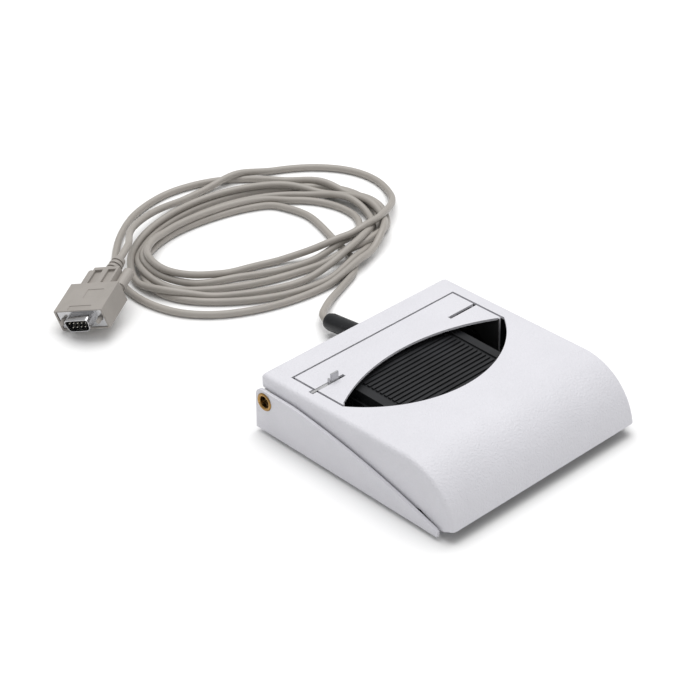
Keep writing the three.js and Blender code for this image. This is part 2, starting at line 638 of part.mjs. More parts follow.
function ribbedPad() {
  const deck = PAD_TOP - RIB_HEIGHT;
  const base = block(-PAD_HALF_WIDTH, PAD_HALF_WIDTH, PAD_FRONT, PAD_REAR, PAD_TOP - PAD_THICKNESS, deck);
  const border = (PAD_REAR - PAD_FRONT - (RIB_COUNT - 1) * RIB_PITCH) / 2;
  const ribs = Array.from({ length: RIB_COUNT }, (_, i) => {
    const y = PAD_FRONT + border + i * RIB_PITCH;
    return block(-RIB_HALF_LENGTH, RIB_HALF_LENGTH, y - RIB_WIDTH / 2, y + RIB_WIDTH / 2, deck - RIB_HEIGHT,
      PAD_TOP);
  });
  const borders = SIDES.map(([, side]) => {
    const inner = RIB_HALF_LENGTH + RIB_WIDTH;
    const [x0, x1] = side < 0 ? [-PAD_HALF_WIDTH, -inner] : [inner, PAD_HALF_WIDTH];
    return block(x0, x1, PAD_FRONT, PAD_REAR, deck - RIB_HEIGHT, PAD_TOP);
  });
  return piece('ribbed_pad', join(base, ...ribs, ...borders), BLACK_RUBBER);
}

function padCarrier() {
  const rear = PAD_ROD_Y - PAD_ROD_RADIUS - 2 * CARRIER_SHEET;
  const low = PAD_ROD_HEIGHT - 2 * PAD_ROD_RADIUS;
  const back = PAD_ROD_Y + 2 * PAD_ROD_RADIUS;
  const cheek = [
    [PAD_FRONT, CARRIER_TOP], [PAD_FRONT, CARRIER_BOTTOM - CARRIER_SHEET],
    [PAD_ROD_Y - 20, CARRIER_BOTTOM - CARRIER_SHEET], [PAD_ROD_Y - 2 * PAD_ROD_RADIUS, low],
    [back, low], [back, CARRIER_BOTTOM], [rear, CARRIER_TOP],
  ];
  const cheekIn = CARRIER_HALF - CARRIER_SHEET;
  const bossRadius = LEVER_WIDTH / 2;
  const bossLow = leverContactZ(SWITCH_CONTACT_Y) + GAP;
  const bossHeight = CARRIER_TOP - GAP - bossLow;
  const bosses = SIDES.map(([, side]) => rod(
    bossRadius, bossHeight, Z, [side * SWITCH_X, SWITCH_CONTACT_Y, bossLow + bossHeight / 2], 16));
  const body = join(
    block(-CARRIER_HALF, CARRIER_HALF, PAD_FRONT - CARRIER_SHEET, rear, CARRIER_BOTTOM, CARRIER_TOP),
    slabX(cheek, -CARRIER_HALF, -cheekIn),
    slabX(cheek, cheekIn, CARRIER_HALF),
    ...bosses,
  );
  const bore = rod(PAD_ROD_RADIUS + GAP, PEDAL_WIDTH, X, [0, PAD_ROD_Y, PAD_ROD_HEIGHT]);
  return piece('pad_carrier', cut(body, bore), BLACK_STEEL);
}

function padRod() {
  const length = 2 * (CARRIER_HALF + 3 * BRACKET_SHEET);
  return piece('pad_rod', rod(PAD_ROD_RADIUS, length, X, [0, PAD_ROD_Y, PAD_ROD_HEIGHT]), STEEL);
}

function rodBracket([name, side]) {
  const inner = CARRIER_HALF + BRACKET_SHEET / 2;
  const low = LINER_FLOOR + GAP;
  const reach = 3 * PAD_ROD_RADIUS;
  const upright = [
    [PAD_ROD_Y - reach, low], [PAD_ROD_Y + reach, low], [PAD_ROD_Y + reach / 2, PAD_ROD_HEIGHT + reach / 2],
    [PAD_ROD_Y - reach / 2, PAD_ROD_HEIGHT + reach / 2],
  ];
  const [x0, x1] = side < 0 ? [-inner - BRACKET_SHEET, -inner] : [inner, inner + BRACKET_SHEET];
  const base = side < 0 ? [-inner - 10, -inner] : [inner, inner + 10];
  const body = join(
    slabX(upright, x0, x1),
    block(...base, PAD_ROD_Y - reach, PAD_ROD_Y + reach, low, low + BRACKET_SHEET),
  );
  const bore = rod(PAD_ROD_RADIUS + GAP, PEDAL_WIDTH, X, [0, PAD_ROD_Y, PAD_ROD_HEIGHT]);
  return piece(`rod_bracket_${name}`, cut(body, bore), STEEL);
}

// ---------------------------------------------------------------- springs and posts

class Helix extends THREE.Curve {
  constructor(radius, turns, height) {
    super();
    this.radius = radius;
    this.turns = turns;
    this.height = height;
  }

  getPoint(t, target = new THREE.Vector3()) {
    const angle = 2 * Math.PI * this.turns * t;
    return target.set(this.radius * Math.cos(angle), this.radius * Math.sin(angle), this.height * t);
  }
}

function coil(radius, wire, turns, height) {
  const section = new THREE.Shape();
  section.absarc(0, 0, wire, 0, 2 * Math.PI);
  const path = new Helix(radius, turns, height);
  return new THREE.ExtrudeGeometry(section, {
    steps: turns * 12, extrudePath: path, curveSegments: 3, bevelEnabled: false,
  });
}

function springSeatZ() {
  return LINER_FLOOR + GAP;
}

function coverUnderAt(y) {
  return COVER_UNDER + (HINGE_Y - y) * Math.sin(TILT);
}

function coverSpring([name, side]) {
  const low = springSeatZ() + SPRING_WIRE;
  const high = coverUnderAt(SPRING_Y + SPRING_RADIUS) - SPRING_WIRE - 3 * GAP;
  const body = coil(SPRING_RADIUS, SPRING_WIRE, SPRING_TURNS, high - low);
  return piece(`cover_spring_${name}`, body.translate(side * SPRING_X, SPRING_Y, low), STEEL);
}

function springPost([name, side]) {
  const travel = (HINGE_Y - SPRING_Y) * Math.sin(THREE.MathUtils.degToRad(COVER_PRESS));
  const top = coverUnderAt(SPRING_Y) - travel - 2 * GAP;
  const low = springSeatZ();
  const profile = [[0, low], [POST_RADIUS, low], [POST_RADIUS, top - 1], [POST_RADIUS - 1, top], [0, top]];
  return piece(`spring_post_${name}`, turned(profile, Z, [side * SPRING_X, SPRING_Y, 0]), BLACK_PLASTIC);
}

function padSpring() {
  const length = TORSION_TURNS * 2.4;
  const body = coil(TORSION_RADIUS, SPRING_WIRE, TORSION_TURNS, length);
  body.applyMatrix4(ALONG_X);
  return piece('pad_spring', body.translate(CARRIER_HALF - 6 - length, PAD_ROD_Y, PAD_ROD_HEIGHT), STEEL);
}

// ---------------------------------------------------------------- liner, board and switches

function liner() {
  const half = COVER_HALF - COVER_SHEET - COVER_SIDE_GAP - 1;
  const front = TRAY_FRONT + TONGUE_START;
  const rear = COVER_REAR - COVER_SHEET - 2;
  const low = FLOOR + GAP;
  const outer = solid(sweep(roundedRect(half, front, rear, 4), LINER_WALL).translate(0, 0, low));
  const inside = roundedRect(half - LINER_SHEET, front + LINER_SHEET, rear - LINER_SHEET, 3);
  const hollow = sweep(inside, LINER_WALL).translate(0, 0, low + LINER_SHEET);
  const footHoles = footPlaces().map(([, x, y]) => rod(
    FOOT_HEAD_RADIUS + GAP, 4 * LINER_SHEET, Z, [x, y, low]));
  const leadNotch = block(LEAD_X - BOOT_RADIUS - 2, LEAD_X + BOOT_RADIUS + 2, rear - 3 * LINER_SHEET,
    rear + THROUGH, low + LINER_SHEET, low + LINER_WALL + THROUGH);
  return piece('inner_liner', cut(outer, hollow, ...footHoles, leadNotch), BLACK_PLASTIC);
}

function circuitBoard() {
  const half = BOARD_WIDTH / 2;
  const y0 = BOARD_Y - BOARD_DEPTH / 2;
  const y1 = BOARD_Y + BOARD_DEPTH / 2;
  const body = block(-half, half, y0, y1, BOARD_BOTTOM, BOARD_BOTTOM + BOARD_SHEET);
  const holes = boardCorners().map(([, x, y]) => rod(
    SPACER_RADIUS / 2 + GAP, 4 * BOARD_SHEET, Z, [x, y, BOARD_BOTTOM], 12));
  return piece('circuit_board', cut(solid(body), ...holes), GREEN_BOARD);
}

function boardCorners() {
  const x = BOARD_WIDTH / 2 - SPACER_RADIUS - 1;
  const y = BOARD_DEPTH / 2 - SPACER_RADIUS - 1;
  return [
    ['front_left', -x, BOARD_Y - y], ['front_right', x, BOARD_Y - y],
    ['rear_left', -x, BOARD_Y + y], ['rear_right', x, BOARD_Y + y],
  ];
}

function boardSpacer([place, x, y]) {
  const low = LINER_FLOOR + GAP;
  const seat = BOARD_BOTTOM - GAP;
  const top = BOARD_BOTTOM + BOARD_SHEET + GAP;
  const pin = SPACER_RADIUS / 2;
  const profile = [
    [0, low], [SPACER_RADIUS, low], [SPACER_RADIUS, seat], [pin, seat], [pin, top],
    [pin + 0.8, top], [pin, top + 1.2], [0, top + 1.2],
  ];
  return piece(`board_spacer_${place}`, turned(profile, Z, [x, y, 0], 16), NYLON);
}

const SWITCHES = [
  ['pad_left', -SWITCH_X, SWITCH_CONTACT_Y], ['pad_right', SWITCH_X, SWITCH_CONTACT_Y],
  ['cover', -SPRING_X, COVER_SWITCH_Y],
];

function leverContactZ() {
  return LEVER_TIP_Z + LEVER_SHEET;
}

function switchBody([name, x, contactY]) {
  const pivotY = contactY + LEVER_LENGTH;
  const y0 = pivotY - SWITCH_LENGTH + 1;
  const top = SWITCH_BOTTOM + SWITCH_HEIGHT;
  const half = SWITCH_WIDTH / 2;
  const low = name === 'cover' ? LINER_FLOOR + GAP : SWITCH_BOTTOM;
  const body = join(
    block(x - half, x + half, y0, pivotY + 1.5, low, top),
    block(x - half, x - half + 0.8, pivotY - 1, pivotY + 1.5, top - THROUGH, top + 2),
    block(x + half - 0.8, x + half, pivotY - 1, pivotY + 1.5, top - THROUGH, top + 2),
  );
  return piece(`switch_${name}`, body, BLACK_PLASTIC);
}

function switchLever([name, x, contactY]) {
  const pivotY = contactY + LEVER_LENGTH;
  const half = LEVER_WIDTH / 2;
  const angle = -THREE.MathUtils.degToRad(LEVER_RISE);
  const strip = block(-half, half, -LEVER_LENGTH - 1, 0.3, -LEVER_SHEET / 2, LEVER_SHEET / 2);
  strip.rotateX(angle);
  const body = join(strip, rod(0.6, LEVER_WIDTH, X, [0, 0, 0], 12));
  return piece(`switch_lever_${name}`, toGeometry(body).translate(x, pivotY, LEVER_PIVOT_Z), STEEL);
}

// ---------------------------------------------------------------- lead

function bootPoint(distance) {
  const droop = THREE.MathUtils.degToRad(BOOT_DROOP);
  const y = REAR + distance * Math.cos(droop);
  return [LEAD_X, y, LEAD_EXIT_HEIGHT - distance * Math.sin(droop)];
}

function strainRelief() {
  const flange = BOOT_RADIUS + 1.8;
  const tilt = flange * Math.sin(THREE.MathUtils.degToRad(BOOT_DROOP));
  const inside = -TRAY_SHEET - tilt - 2 * GAP;
  const profile = [
    [0, inside - 2], [flange, inside - 2], [flange, inside], [BOOT_RADIUS, inside],
    [BOOT_RADIUS, BOOT_LENGTH - 3], [BOOT_RADIUS - 0.8, BOOT_LENGTH], [0, BOOT_LENGTH],
  ];
  const droop = THREE.MathUtils.degToRad(BOOT_DROOP);
  const axis = new THREE.Vector3(0, Math.cos(droop), -Math.sin(droop));
  return piece('strain_relief', turned(profile, axis, [LEAD_X, REAR, LEAD_EXIT_HEIGHT]), BLACK_RUBBER);
}

function cableClamp() {
  const y = CLAMP_Y;
  const low = LINER_FLOOR + GAP;
  const half = 9;
  const body = join(
    block(LEAD_X - half, LEAD_X + half, y - 4, y + 4, low, low + 2),
    block(LEAD_X - half, LEAD_X + half, y - 4, y + 4, low + 2 - GAP, low + 9),
  );
  const channel = rod(LEAD_DIAMETER / 2 + GAP, 20, Y, [LEAD_X, y, low + 5], 16);
  const screwHole = rod(1.8, 30, Z, [LEAD_X + half - 3, y, low + 5], 12);
  return piece('cable_clamp', cut(body, channel, screwHole), NYLON);
}

function clampScrew() {
  const y = CLAMP_Y;
  const seat = LINER_FLOOR + GAP + 9 + GAP;
  const profile = [
    [0, seat - 9], [1.4, seat - 9], [1.4, seat], [2.8, seat], [2.8, seat + 1], [2, seat + 1.8],
    [0, seat + 1.8],
  ];
  return piece('clamp_screw', turned(profile, Z, [LEAD_X + 6, y, 0], 16), STEEL);
}

// the stretch from the strain relief to the coil, laid on the floor
function leadRoute() {
  const [x, y, z] = bootPoint(BOOT_LENGTH + 2 * GAP);
  return [
    [x, y, z], [x + 0.5, y + 4, z - 0.55], [24.5, 126, 6.4], [31, 130.6, 5.4], [37.5, 135, 4],
    [44, 138.8, 2.9], [54, 142.9, 2.4], [62.2, 146.1, 2.4], [70, 149, 2.4], [76, 152, 2.4],
  ];
}

// the last stretch, off the coil's top and down into the plug
function plugLeadRoute() {
  const end = plugPoint(0, -HOOD_LENGTH - NECK_LENGTH - PLUG_BOOT_LENGTH - 2 * GAP, 0);
  return [end, [-27.5, 243.6, 20.6], [-20, 248.6, 19.4], [-11.5, 254.4, 17.6]];
}

function tube(route, steps) {
  const path = new THREE.CatmullRomCurve3(route.map((p) => new THREE.Vector3(...p)), false, 'centripetal');
  const section = new THREE.Shape();
  section.absarc(0, 0, LEAD_DIAMETER / 2, 0, 2 * Math.PI);
  return new THREE.ExtrudeGeometry(section, {
    steps, extrudePath: path, curveSegments: 5, bevelEnabled: false,
  });
}

function leadCoil() {
  const shape = new THREE.Shape();
  shape.absellipse(...COIL_CENTRE, COIL_HALF_LENGTH, COIL_HALF_WIDTH, 0, 2 * Math.PI);
  const eye = new THREE.Path();
  eye.absellipse(...COIL_EYE_CENTRE, COIL_EYE_HALF_LENGTH, COIL_EYE_HALF_WIDTH, 0, 2 * Math.PI, true);
  shape.holes.push(eye);
  return piece('lead_coil', sweep(shape, COIL_HEIGHT, null, { curveSegments: 20 }), LEAD_GREY);
}

// ---------------------------------------------------------------- plug, drawn facing +Y and laid down turned

function plugMatrix() {
  const turn = new THREE.Euler(
    THREE.MathUtils.degToRad(PLUG_PITCH), THREE.MathUtils.degToRad(PLUG_ROLL),
    THREE.MathUtils.degToRad(PLUG_HEADING), 'ZXY');
  return new THREE.Matrix4().makeRotationFromEuler(turn).setPosition(...PLUG_FACE);
}

function plugPoint(x, y, z) {
  return new THREE.Vector3(x, y, z).applyMatrix4(plugMatrix()).toArray();
}

function dShape(width, height) {
  const lean = height / 2 * Math.tan(THREE.MathUtils.degToRad(10));
  const r = height * 0.3;
  const shape = new THREE.Shape();
  const top = height / 2;
  const wide = width / 2;
  const narrow = wide - 2 * lean;
  shape.moveTo(-narrow + r, -top);
  shape.lineTo(narrow - r, -top);
  shape.quadraticCurveTo(narrow, -top, narrow + lean * 0.6, -top + r);
  shape.lineTo(wide - lean * 0.6, top - r);
  shape.quadraticCurveTo(wide, top, wide - r, top);
  shape.lineTo(-wide + r, top);
  shape.quadraticCurveTo(-wide, top, -wide + lean * 0.6, top - r);
  shape.lineTo(-narrow - lean * 0.6, -top + r);
  shape.quadraticCurveTo(-narrow, -top, -narrow + r, -top);
  return shape;
}

// an outline in the plug's XZ plane, swept from one depth to another along its axis
function plugSweep(shape, from, to) {
  const upright = new THREE.Matrix4().makeBasis(X, Z, Y.clone().negate());
  return sweep(shape, to - from, upright, { curveSegments: 4 }).translate(0, to, 0);
}

const FACE_RIM = 1.2;
const FACE_DEPTH = 1.4;

function plugHood() {
  const half = HOOD_WIDTH / 2;
  const thick = HOOD_THICKNESS / 2;
  const neckEnd = -HOOD_LENGTH - NECK_LENGTH;
  const r = PLUG_BOOT_RADIUS;
  const g = PLUG_BOOT_RADIUS - PLUG_BOOT_GROOVE;
  const boot = [
    [0, -THROUGH], [r, -THROUGH], [r, 2], [g, 2], [g, 3.2], [r - 0.1, 3.2], [r - 0.2, 5.4], [g, 5.4],
    [g, 6.6], [r - 0.3, 6.6], [r - 0.4, 8.8], [g, 8.8], [g, 10], [r - 0.5, 10],
    [r - 0.9, PLUG_BOOT_LENGTH], [0, PLUG_BOOT_LENGTH],
  ];
  const body = join(
    block(-half, half, -HOOD_LENGTH, 0, -thick, thick),
    block(-NECK_WIDTH / 2, NECK_WIDTH / 2, neckEnd, -HOOD_LENGTH + THROUGH, -NECK_THICKNESS / 2,
      NECK_THICKNESS / 2),
    turned(boot, Y.clone().negate(), [0, neckEnd, 0], 16),
  );
  const panels = [[-1, 1], [1, 1], [-1, -1], [1, -1]].map(([side, level]) => {
    const z0 = level * NECK_THICKNESS / 2;
    const x0 = side * 1.9;
    const x1 = side * (NECK_WIDTH / 2 - 1.6);
    return block(Math.min(x0, x1), Math.max(x0, x1), neckEnd + 2.5, -HOOD_LENGTH - 0.6, z0 - PANEL_DEPTH,
      z0 + PANEL_DEPTH);
  });
  const label = block(...LABEL_X, ...LABEL_Y, thick - LABEL_DEPTH, thick + THROUGH);
  const grip = block(-GRIP_HALF, GRIP_HALF, -GRIP_REACH, -0.7, thick - LABEL_DEPTH, thick + THROUGH);
  const face = block(-half + FACE_RIM, half - FACE_RIM, -FACE_DEPTH, THROUGH, -thick + 0.8, thick - 0.8);
  const pocket = block(-SHELL_WIDTH / 2, SHELL_WIDTH / 2, -9, THROUGH, -SHELL_HEIGHT / 2, SHELL_HEIGHT / 2);
  const screwBores = SIDES.map(([, side]) => rod(
    SCREW_SHAFT_RADIUS + GAP, 3 * HOOD_LENGTH, Y, [side * SCREW_SPACING / 2, -HOOD_LENGTH, 0], 16));
  return piece('plug_hood', cut(body, ...panels, label, grip, face, pocket, ...screwBores), GREY_PLASTIC);
}

function plugShell() {
  const back = -FACE_DEPTH + GAP;
  const plate = solid(block(-FLANGE_WIDTH / 2 + GAP, FLANGE_WIDTH / 2 - GAP, back, back + SHELL_SHEET,
    -FLANGE_HEIGHT / 2 + GAP, FLANGE_HEIGHT / 2 - GAP));
  const wall = solid(plugSweep(dShape(SHELL_WIDTH, SHELL_HEIGHT), back, SHELL_REACH));
  const inner = dShape(SHELL_WIDTH - 2 * SHELL_SHEET, SHELL_HEIGHT - 2 * SHELL_SHEET);
  const hollow = plugSweep(inner, back - THROUGH, SHELL_REACH + THROUGH);
  const holes = SIDES.map(([, side]) => rod(
    SCREW_SHAFT_RADIUS + GAP, 8, Y, [side * SCREW_SPACING / 2, 0, 0], 16));
  return piece('plug_shell', cut(plate.add(wall), hollow, ...holes), NICKEL);
}

function pinPlaces() {
  const top = [-2, -1, 0, 1, 2].map((i) => [i * PIN_PITCH, PIN_ROW / 2]);
  const bottom = [-1.5, -0.5, 0.5, 1.5].map((i) => [i * PIN_PITCH, -PIN_ROW / 2]);
  return [...top, ...bottom];
}

function plugInsulator() {
  const width = SHELL_WIDTH - 2 * SHELL_SHEET - 2 * GAP;
  const height = SHELL_HEIGHT - 2 * SHELL_SHEET - 2 * GAP;
  const body = solid(plugSweep(dShape(width, height), -4, 0.6));
  const bores = pinPlaces().map(([x, z]) => rod(PIN_RADIUS + GAP / 2, 30, Y, [x, 0, z], 8));
  return piece('plug_insulator', cut(body, ...bores), BLACK_PLASTIC);
}

function contactPins() {
  const back = -4 - GAP;
  const wide = 2.5 * PIN_PITCH;
  const bar = block(-wide, wide, back - 1.5, back, -PIN_ROW, PIN_ROW);
  const pins = pinPlaces().map(([x, z]) => turned(
    [
      [0, back - 1], [PIN_RADIUS, back - 1], [PIN_RADIUS, PIN_REACH - 0.4], [PIN_RADIUS / 2, PIN_REACH],
      [0, PIN_REACH],
    ],
    Y, [x, 0, z], 8));
  return piece('contact_pins', join(bar, ...pins), BRASS);
}

function thumbscrew([name, side]) {
  const knobFront = -HOOD_LENGTH - GAP;
  const knobBack = knobFront - SCREW_KNOB_LENGTH;
  const r = SCREW_KNOB_RADIUS;
  const s = SCREW_SHAFT_RADIUS;
  const profile = [
    [0, knobBack], [r - 0.8, knobBack], [r, knobBack + 0.8], [r, knobFront - 3], [r - 1, knobFront - 3],
    [r - 1, knobFront], [s, knobFront], [s, SCREW_REACH - 0.5], [s - 0.5, SCREW_REACH], [0, SCREW_REACH],
  ];
  const shape = solid(turned(profile, Y, [0, 0, 0], 20));
  const slot = block(-2 * r, 2 * r, knobBack - THROUGH, knobBack + 1.2, -0.4, 0.4);
  const geometry = toGeometry(cut(shape, slot)).translate(side * SCREW_SPACING / 2, 0, 0);
  return piece(`thumbscrew_${name}`, geometry, STEEL);
}

function plugGroup() {
  const group = new THREE.Group();
  group.applyMatrix4(plugMatrix());
  group.add(plugHood(), plugShell(), plugInsulator(), contactPins(), ...SIDES.map(thumbscrew));
  return group;
}

// ---------------------------------------------------------------- assembly

const pedal = new THREE.Group();
pedal.add(
  baseTray(),
  ...footPlaces().map(foot),
  ...SIDES.map(eyelet),
  ...SIDES.map(hingeWasher),
  coverGroup(),
  ribbedPad(),
  padCarrier(),
  padRod(),
  ...SIDES.map(rodBracket),
  padSpring(),
  ...SIDES.map(coverSpring),
  ...SIDES.map(springPost),
  liner(),
  circuitBoard(),
  ...boardCorners().map(boardSpacer),
  ...SWITCHES.map(switchBody),
  ...SWITCHES.map(switchLever),
  cableClamp(),
  clampScrew(),
  strainRelief(),
  piece('lead_tail', tube(leadRoute(), 14), LEAD_GREY),
  leadCoil(),
  piece('plug_lead', tube(plugLeadRoute(), 8), LEAD_GREY),
  plugGroup(),
);

export default pedal;
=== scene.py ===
"""Foot control pedal with its coiled lead and 9-pin D plug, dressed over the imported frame.

Everything is in metres in the row's frame: +Z up, the foot comes from -Y, the lead leaves at +Y.
"""

import json
import math

import bmesh
import bpy
from bpy.props import FloatProperty, FloatVectorProperty, PointerProperty
from mathutils import Matrix, Vector


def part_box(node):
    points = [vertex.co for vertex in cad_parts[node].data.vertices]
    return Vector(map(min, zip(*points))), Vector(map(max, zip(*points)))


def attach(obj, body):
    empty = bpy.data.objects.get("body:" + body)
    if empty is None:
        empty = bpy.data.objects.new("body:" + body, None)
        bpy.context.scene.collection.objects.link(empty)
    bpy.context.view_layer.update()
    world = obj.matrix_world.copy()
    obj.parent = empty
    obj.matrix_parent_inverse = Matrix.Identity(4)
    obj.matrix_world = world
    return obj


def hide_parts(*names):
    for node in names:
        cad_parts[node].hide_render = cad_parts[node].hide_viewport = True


bl_info = {
    "name": "Foot Control Pedal",
    "version": (1, 0, 0),
    "blender": (4, 5, 0),
    "location": "3D View > Sidebar > Foot Pedal",
    "description": "Builds the finish of a foot control pedal with its lead and plug",
    "category": "Add Mesh",
}

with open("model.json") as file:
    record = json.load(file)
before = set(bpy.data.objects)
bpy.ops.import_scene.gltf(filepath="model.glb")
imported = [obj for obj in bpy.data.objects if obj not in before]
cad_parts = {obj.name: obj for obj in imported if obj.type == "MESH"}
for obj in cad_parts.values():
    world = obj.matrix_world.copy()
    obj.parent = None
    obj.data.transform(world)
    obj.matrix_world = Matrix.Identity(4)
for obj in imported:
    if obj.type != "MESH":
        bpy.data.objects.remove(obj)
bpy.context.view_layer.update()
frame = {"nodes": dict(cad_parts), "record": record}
BODY_OF = {node: body for body, nodes in frame["record"]["behaviour"]["bodies"].items() for node in nodes}
SLOT_OF = {part["node"]: part["material_slot"] for part in frame["record"]["subparts"]}

MM = 0.001
SHEET = 1.5 * MM
SENSOR_WIDTH = 36.0
MERGE_DISTANCE = 1e-6
FLAT_ANGLE = math.radians(0.6)  # faces closer to level with each other than this become one
# Inward and downward faces under the skin get painted shade, a near-black finish standing in for the shadow
# inside the cover.
FACING = 0.7  # how squarely a face has to look inward or down to count as the inside

# The stretch from the strain relief to the coil, as in the part's source.
LEAD_START = (
    (21.0, 117.55, 7.91), (21.5, 121.55, 7.36), (24.5, 126.0, 6.4), (31.0, 130.6, 5.4), (37.5, 135.0, 4.0),
    (44.0, 138.8, 2.9), (54.0, 142.9, 2.4), (62.2, 146.1, 2.4), (70.0, 149.0, 2.4), (76.0, 152.0, 2.4),
)
# It goes on under the front of the coil and up the right side.
LEAD_UNDER = (
    (81.0, 156.5, 2.4), (85.5, 163.0, 2.4), (89.0, 173.0, 2.4), (93.0, 187.0, 2.4), (99.0, 206.0, 2.4),
    (102.0, 222.0, 2.4), (98.0, 239.0, 2.4),
)
LEAD_END = ((-20.0, 248.6, 19.4), (-27.5, 243.6, 20.6), (-35.04, 238.9, 19.9))
COIL_MIDDLE = (57.0, 222.0)
COIL_HALF = (84.0, 57.0)
EIGHTH = math.radians(45)
# How far each turn spreads from the middle oval, every eighth of a turn, from one eighth past +X on.
COIL_START = 1
COIL_SPREAD = (
    0.62, 0.68, 0.88, 0.97, 1.01, 1.15, 1.08,
    1.02, 0.92, 0.95, 0.98, 0.91, 0.78, 0.84, 1.16,
    0.96, 1.07, 1.43, 1.19, 1.12, 1.21, 1.23, 1.15,
    0.90, 0.90, 0.98, 1.02, 1.01, 0.91, 1.01, 1.04,
    0.85, 0.79, 0.82, 0.92, 0.86, 0.62, 0.72, 0.92,
    0.77, 0.68, 0.71, 0.87, 0.84, 0.50, 0.55, 1.09,
    1.28, 1.29, 1.19, 1.06,
)
STEPS_PER_EIGHTH = 3
STEPS_PER_STRETCH = 6
OWN_LENGTH = 3  # diameters along the lead in which it doesn't lie on itself
NESTING = 0.92  # how fully a crossing stretch rises over the one below
SOFTENING = 1.2  # diameters each way that a height is averaged over
KEPT_POINT = 4  # every fourth point laid goes into the curve


# ---------------------------------------------------------------- settings

class StageSettings(bpy.types.PropertyGroup):
    lens: FloatProperty(
        name="Lens", description="Focal length for a 36 mm sensor", default=123.4, unit="CAMERA")
    azimuth: FloatProperty(
        name="Azimuth", description="Turn of the camera about the vertical", default=math.radians(-43.99),
        subtype="ANGLE")
    elevation: FloatProperty(
        name="Elevation", description="Height of the camera as an angle", default=math.radians(33.55),
        subtype="ANGLE")
    distance: FloatProperty(
        name="Distance", description="Camera to its target", default=1.35185, unit="LENGTH")
    target: FloatVectorProperty(
        name="Target", description="The point that the camera looks at", default=(-0.00395, 0.07293, 0.02),
        subtype="XYZ", unit="LENGTH")
    floor_width: FloatProperty(
        name="Floor width", description="Side of the floor", default=12.0, unit="LENGTH")
    floor_color: FloatVectorProperty(
        name="Floor colour", description="Colour of the floor", default=(0.93, 0.93, 0.93), subtype="COLOR",
        size=3, min=0.0, max=1.0)
    sky: FloatProperty(
        name="Sky", description="Strength of the even light from all round", default=0.56, min=0.0)
    top_light: FloatProperty(
        name="Top light", description="Power of the light overhead", default=52.0, min=0.0)
    light_width: FloatProperty(
        name="Light width", description="Side of the light", default=2.4, unit="LENGTH")
    light_place: FloatVectorProperty(
        name="Light place", description="Where the light hangs", default=(0.45, 0.45, 2.3), subtype="XYZ",
        unit="LENGTH")
    light_aim: FloatVectorProperty(
        name="Light aim", description="The point that the light faces",
        default=(0.0, 0.05, 0.0), subtype="XYZ",
        unit="LENGTH")


class LeadSettings(bpy.types.PropertyGroup):
    diameter: FloatProperty(
        name="Diameter", description="Outside of the lead", default=4.5 * MM, unit="LENGTH")
    step: FloatProperty(
        name="Step", description="Distance between points laid", default=1.5 * MM, unit="LENGTH")
    hump: FloatProperty(
        name="Hump slope", description="Steepest rise where the lead passes over itself",
        default=0.2, min=0.01)


class FinishSettings(bpy.types.PropertyGroup):
    coat: FloatVectorProperty(
        name="Coat", description="Powder coat of the sheet metal",
        default=(0.68, 0.675, 0.715), subtype="COLOR",
        size=3, min=0.0, max=1.0)
    pvc: FloatVectorProperty(
        name="Lead", description="Sheath of the lead", default=(0.36, 0.335, 0.305), subtype="COLOR",
        size=3, min=0.0, max=1.0)
    hood: FloatVectorProperty(
        name="Hood", description="Moulding of the plug", default=(0.34, 0.315, 0.29), subtype="COLOR",
        size=3, min=0.0, max=1.0)
    rubber: FloatVectorProperty(
        name="Rubber", description="Toe pad, feet and boot", default=(0.012, 0.0125, 0.014), subtype="COLOR",
        size=3, min=0.0, max=1.0)
    brass: FloatVectorProperty(
        name="Brass", description="Eyelets and contacts", default=(0.42, 0.25, 0.085), subtype="COLOR",
        size=3, min=0.0, max=1.0)
    steel: FloatVectorProperty(
        name="Steel", description="Plated steel", default=(0.55, 0.55, 0.56), subtype="COLOR",
        size=3, min=0.0, max=1.0)
    board: FloatVectorProperty(
        name="Board", description="Solder resist of the circuit board", default=(0.02, 0.11, 0.045),
        subtype="COLOR", size=3, min=0.0, max=1.0)
    nylon: FloatVectorProperty(
        name="Nylon", description="Washers, spacers and clamp", default=(0.62, 0.61, 0.56), subtype="COLOR",
        size=3, min=0.0, max=1.0)


# ---------------------------------------------------------------- effects shared by the materials

def new_group(name, inputs, outputs):
    group = bpy.data.node_groups.new(name, "ShaderNodeTree")
    for label, kind, value in inputs:
        socket = group.interface.new_socket(label, in_out="INPUT", socket_type=kind)
        socket.default_value = value
    for label, kind in outputs:
        group.interface.new_socket(label, in_out="OUTPUT", socket_type=kind)
    return group


def node(tree, kind, **values):
    made = tree.nodes.new(kind)
    for key, value in values.items():
        setattr(made, key, value)
    return made


def math_node(tree, operation, first, second):
    made = node(tree, "ShaderNodeMath", operation=operation)
    for socket, value in zip(made.inputs, (first, second)):
        if isinstance(value, bpy.types.NodeSocket):
            tree.links.new(value, socket)
        else:
            socket.default_value = value
    return made.outputs[0]


